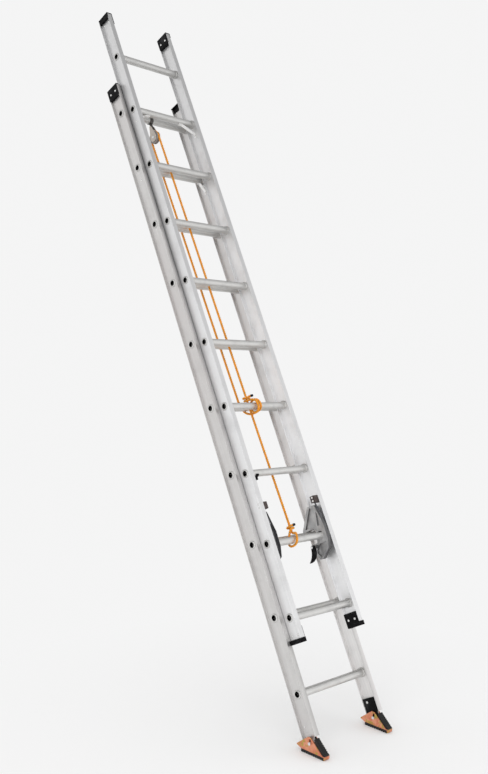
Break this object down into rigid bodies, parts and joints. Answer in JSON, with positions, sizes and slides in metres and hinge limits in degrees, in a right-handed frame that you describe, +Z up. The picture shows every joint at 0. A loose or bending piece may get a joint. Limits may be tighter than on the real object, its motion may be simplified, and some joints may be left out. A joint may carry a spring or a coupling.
{
  "type": "extension ladder",
  "caption": "Two-section aluminium extension ladder, leaning, with interlocking rails, rung locks, rope and pulley hoist, and swivelling rubber-soled shoes.",
  "frame": {"origin": "on the floor, midway between the two shoe pivots", "axes": "+X to the climber's right, +Y horizontally towards the wall that the ladder leans on, +Z up; the rails lean 28 degrees from +Z towards +Y"},
  "size_m": [0.4452, 1.6678, 3.1375],
  "materials": {
    "rail_aluminium": "extruded mill finish, satin",
    "rung_aluminium": "extruded mill finish with a grooved tread",
    "lock_casting": "die cast, dull grey",
    "black_plastic": "moulded, slight sheen",
    "rivet_aluminium": "bright domed heads",
    "brace_aluminium": "rolled bar, bright",
    "zinc_steel": "bright zinc plate",
    "pulley_steel": "zinc plated pressing",
    "spring_steel": "blued strip",
    "yellow_plated_steel": "yellow passivated zinc, coppery with a rainbow tint",
    "shoe_rubber": "ribbed black rubber",
    "sheave_plastic": "moulded grey nylon",
    "orange_rope": "three-strand laid polypropylene"
  },
  "bodies": {
    "base": {"base_rail_left": "rail_aluminium", "base_rail_right": "rail_aluminium", "base_rung_1": "rung_aluminium", "base_rung_2": "rung_aluminium", "base_rung_3": "rung_aluminium", "base_rung_4": "rung_aluminium", "base_rung_5": "rung_aluminium", "base_rung_6": "rung_aluminium", "base_rung_7": "rung_aluminium", "base_rung_8": "rung_aluminium", "base_rung_9": "rung_aluminium", "base_rung_10": "rung_aluminium", "base_top_cap_left": "black_plastic", "base_top_cap_right": "black_plastic", "base_rivets": "rivet_aluminium", "base_braces": "brace_aluminium", "shoe_boot_left": "black_plastic", "shoe_boot_right": "black_plastic", "shoe_bolts": "zinc_steel", "shoe_nuts": "zinc_steel", "pulley_strap": "pulley_steel", "pulley_cheeks": "pulley_steel", "pulley_axle": "zinc_steel", "rope_front_run": "orange_rope", "rope_rear_run": "orange_rope", "rope_mid_tie": "orange_rope"},
    "fly": {"fly_rail_left": "rail_aluminium", "fly_rail_right": "rail_aluminium", "fly_rung_1": "rung_aluminium", "fly_rung_2": "rung_aluminium", "fly_rung_3": "rung_aluminium", "fly_rung_4": "rung_aluminium", "fly_rung_5": "rung_aluminium", "fly_rung_6": "rung_aluminium", "fly_rung_7": "rung_aluminium", "fly_rung_8": "rung_aluminium", "fly_rung_9": "rung_aluminium", "fly_rung_10": "rung_aluminium", "fly_top_cap_left": "black_plastic", "fly_top_cap_right": "black_plastic", "fly_foot_cap_left": "black_plastic", "fly_foot_cap_right": "black_plastic", "fly_rivets": "rivet_aluminium", "fly_braces": "brace_aluminium", "spring_anchors": "black_plastic", "lock_spring_left": "spring_steel", "lock_spring_right": "spring_steel", "rope_low_tie": "orange_rope", "rope_keeper": "black_plastic"},
    "lock_left": {"rung_lock_left": "lock_casting", "flipper_pin_left": "zinc_steel"},
    "lock_right": {"rung_lock_right": "lock_casting", "flipper_pin_right": "zinc_steel"},
    "flipper_left": {"lock_flipper_left": "black_plastic"},
    "flipper_right": {"lock_flipper_right": "black_plastic"},
    "shoe_left": {"shoe_stirrup_left": "yellow_plated_steel", "shoe_pad_left": "shoe_rubber"},
    "shoe_right": {"shoe_stirrup_right": "yellow_plated_steel", "shoe_pad_right": "shoe_rubber"},
    "sheave": {"pulley_sheave": "sheave_plastic"}
  },
  "joints": [
    {"name": "fly_slide", "type": "slide", "parent": "base", "child": "fly", "axis": [0, 0.4695, 0.8829], "range_m": [0, 1.8288], "deforming": ["rope_front_run", "rope_mid_tie"]},
    {"name": "lock_left_swing", "type": "hinge", "parent": "fly", "child": "lock_left", "pos_m": [-0.16, 0.30585, 0.7598], "axis": [1, 0, 0], "range_deg": [0, 38], "stiffness_Nm_per_rad": 0.8, "springref_deg": -28.65, "deforming": ["lock_spring_left"]},
    {"name": "flipper_left_swing", "type": "hinge", "parent": "lock_left", "child": "flipper_left", "pos_m": [-0.12, 0.32034, 0.70611], "axis": [1, 0, 0], "range_deg": [-60, 30]},
    {"name": "shoe_left_swivel", "type": "hinge", "parent": "base", "child": "shoe_left", "pos_m": [-0.2015, 0, 0.044], "axis": [1, 0, 0], "range_deg": [-14, 4]},
    {"name": "lock_right_swing", "type": "hinge", "parent": "fly", "child": "lock_right", "pos_m": [0.16, 0.30585, 0.7598], "axis": [1, 0, 0], "range_deg": [0, 38], "stiffness_Nm_per_rad": 0.8, "springref_deg": -28.65, "deforming": ["lock_spring_right"]},
    {"name": "flipper_right_swing", "type": "hinge", "parent": "lock_right", "child": "flipper_right", "pos_m": [0.12, 0.32034, 0.70611], "axis": [1, 0, 0], "range_deg": [-60, 30]},
    {"name": "shoe_right_swivel", "type": "hinge", "parent": "base", "child": "shoe_right", "pos_m": [0.2015, 0, 0.044], "axis": [1, 0, 0], "range_deg": [-14, 4]},
    {"name": "sheave_spin", "type": "hinge", "parent": "base", "child": "sheave", "pos_m": [-0.029, 1.32917, 2.5438], "axis": [1, 0, 0], "continuous": true}
  ]
}
